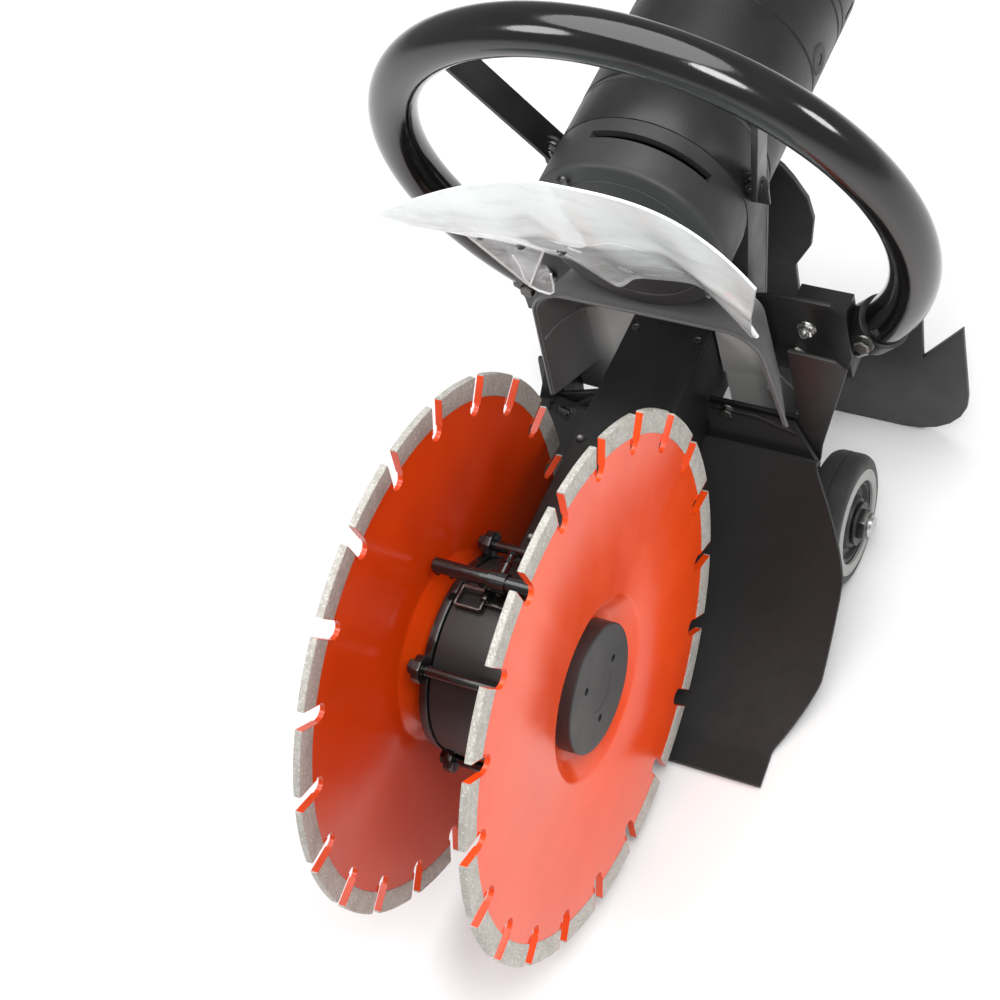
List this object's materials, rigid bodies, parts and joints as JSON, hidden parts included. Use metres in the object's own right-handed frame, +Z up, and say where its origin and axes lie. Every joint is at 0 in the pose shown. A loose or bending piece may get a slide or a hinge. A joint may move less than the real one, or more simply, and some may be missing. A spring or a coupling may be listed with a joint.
{
  "type": "wall chaser",
  "caption": "Twin-blade wall chaser: slotted orange diamond blades on a gear drum, box arm, round motor with ring handle, rubber guard, clear visor, wheels and rear stand.",
  "frame": {"origin": "middle of the footprint, on the surface that the wheels and the rear stand touch", "axes": "+X along the blade shaft towards the operator's right, +Y along the arm from the blades to the motor, +Z up"},
  "size_m": [0.3778, 0.697, 0.5082],
  "materials": {
    "blade_paint": "orange enamel on the steel core, bare diamond segments at the rim",
    "gloss_black": "glossy black enamel",
    "satin_black": "satin black powder coat",
    "black_metal": "black oxide, satin",
    "bare_steel": "turned and ground steel",
    "aluminium": "cast and machined",
    "rubber": "matte black sheet rubber",
    "hood_rubber": "dark grey moulded rubber",
    "tyre_rubber": "solid rubber tread with a grey side",
    "stand_sheet": "dark grey powder coat",
    "clear_plastic": "clear flexible sheet",
    "copper": "copper segments",
    "carbon": "pressed carbon",
    "switch": "moulded"
  },
  "bodies": {
    "frame": {"arm_case": "satin_black", "arm_lid": "satin_black", "axle": "bare_steel", "axle_bracket_left": "satin_black", "axle_bracket_right": "satin_black", "axle_nut": "black_metal", "bearing_plate": "aluminium", "cable_gland": "rubber", "carbon_brush_left": "carbon", "carbon_brush_right": "carbon", "drive_bearing_front": "bare_steel", "drive_bearing_rear": "bare_steel", "drum_bolt_1": "gloss_black", "drum_bolt_2": "gloss_black", "drum_bolt_3": "gloss_black", "drum_bolt_4": "gloss_black", "drum_cover_left": "gloss_black", "drum_cover_right": "gloss_black", "gear_case": "satin_black", "gear_drum": "gloss_black", "guard_plate": "satin_black", "handle_bracket_left": "satin_black", "handle_bracket_right": "satin_black", "handle_strut_left": "satin_black", "handle_strut_right": "satin_black", "hood": "hood_rubber", "idler_pin": "bare_steel", "motor_casing": "satin_black", "mud_flap": "rubber", "nose_cap": "satin_black", "rear_cover": "satin_black", "rear_stand": "stand_sheet", "ring_handle": "gloss_black", "rotor_bearing_front": "bare_steel", "rotor_bearing_rear": "bare_steel", "shaft_bearing_left": "bare_steel", "shaft_bearing_right": "bare_steel", "spray_bar": "gloss_black", "stator_core": "bare_steel", "visor": "clear_plastic"},
    "blade_set": {"blade_shaft": "bare_steel", "ring_gear": "bare_steel", "inner_flange_left": "bare_steel", "inner_flange_right": "bare_steel", "blade_left": "blade_paint", "blade_right": "blade_paint", "outer_flange_left": "black_metal", "outer_flange_right": "black_metal"},
    "drive": {"drive_shaft": "bare_steel", "drive_gear": "bare_steel"},
    "idler": {"idler_gear": "bare_steel"},
    "rotor": {"rotor_shaft": "bare_steel", "rotor_core": "bare_steel", "commutator": "copper", "fan": "switch"},
    "wheel_left": {"tyre_left": "tyre_rubber", "wheel_hub_left": "black_metal"},
    "wheel_right": {"tyre_right": "tyre_rubber", "wheel_hub_right": "black_metal"},
    "switch": {"rocker_switch": "switch"}
  },
  "joints": [
    {"name": "blade_spin", "type": "hinge", "parent": "frame", "child": "blade_set", "pos_m": [0, -0.1735, 0.188], "axis": [1, 0, 0], "continuous": true},
    {"name": "drive_spin", "type": "hinge", "parent": "frame", "child": "drive", "pos_m": [0, -0.0135, 0.188], "axis": [0, 1, 0], "continuous": true},
    {"name": "idler_spin", "type": "hinge", "parent": "frame", "child": "idler", "pos_m": [0, 0.1205, 0.268], "axis": [0, 1, 0], "continuous": true},
    {"name": "rotor_spin", "type": "hinge", "parent": "frame", "child": "rotor", "pos_m": [0, 0.1865, 0.324], "axis": [0, 1, 0], "continuous": true},
    {"name": "wheel_left_spin", "type": "hinge", "parent": "frame", "child": "wheel_left", "pos_m": [-0.11, 0.0695, 0.048], "axis": [1, 0, 0], "continuous": true},
    {"name": "wheel_right_spin", "type": "hinge", "parent": "frame", "child": "wheel_right", "pos_m": [0.11, 0.0695, 0.048], "axis": [1, 0, 0], "continuous": true},
    {"name": "rocker_press", "type": "hinge", "parent": "frame", "child": "switch", "pos_m": [0, 0.3205, 0.36], "axis": [1, 0, 0], "range_deg": [0, 14]}
  ],
  "couplings": [
    {"joint": "drive_spin", "follows": "blade_spin", "ratio": 2},
    {"joint": "idler_spin", "follows": "blade_spin", "ratio": -1.8095},
    {"joint": "rotor_spin", "follows": "blade_spin", "ratio": 5.4286}
  ]
}
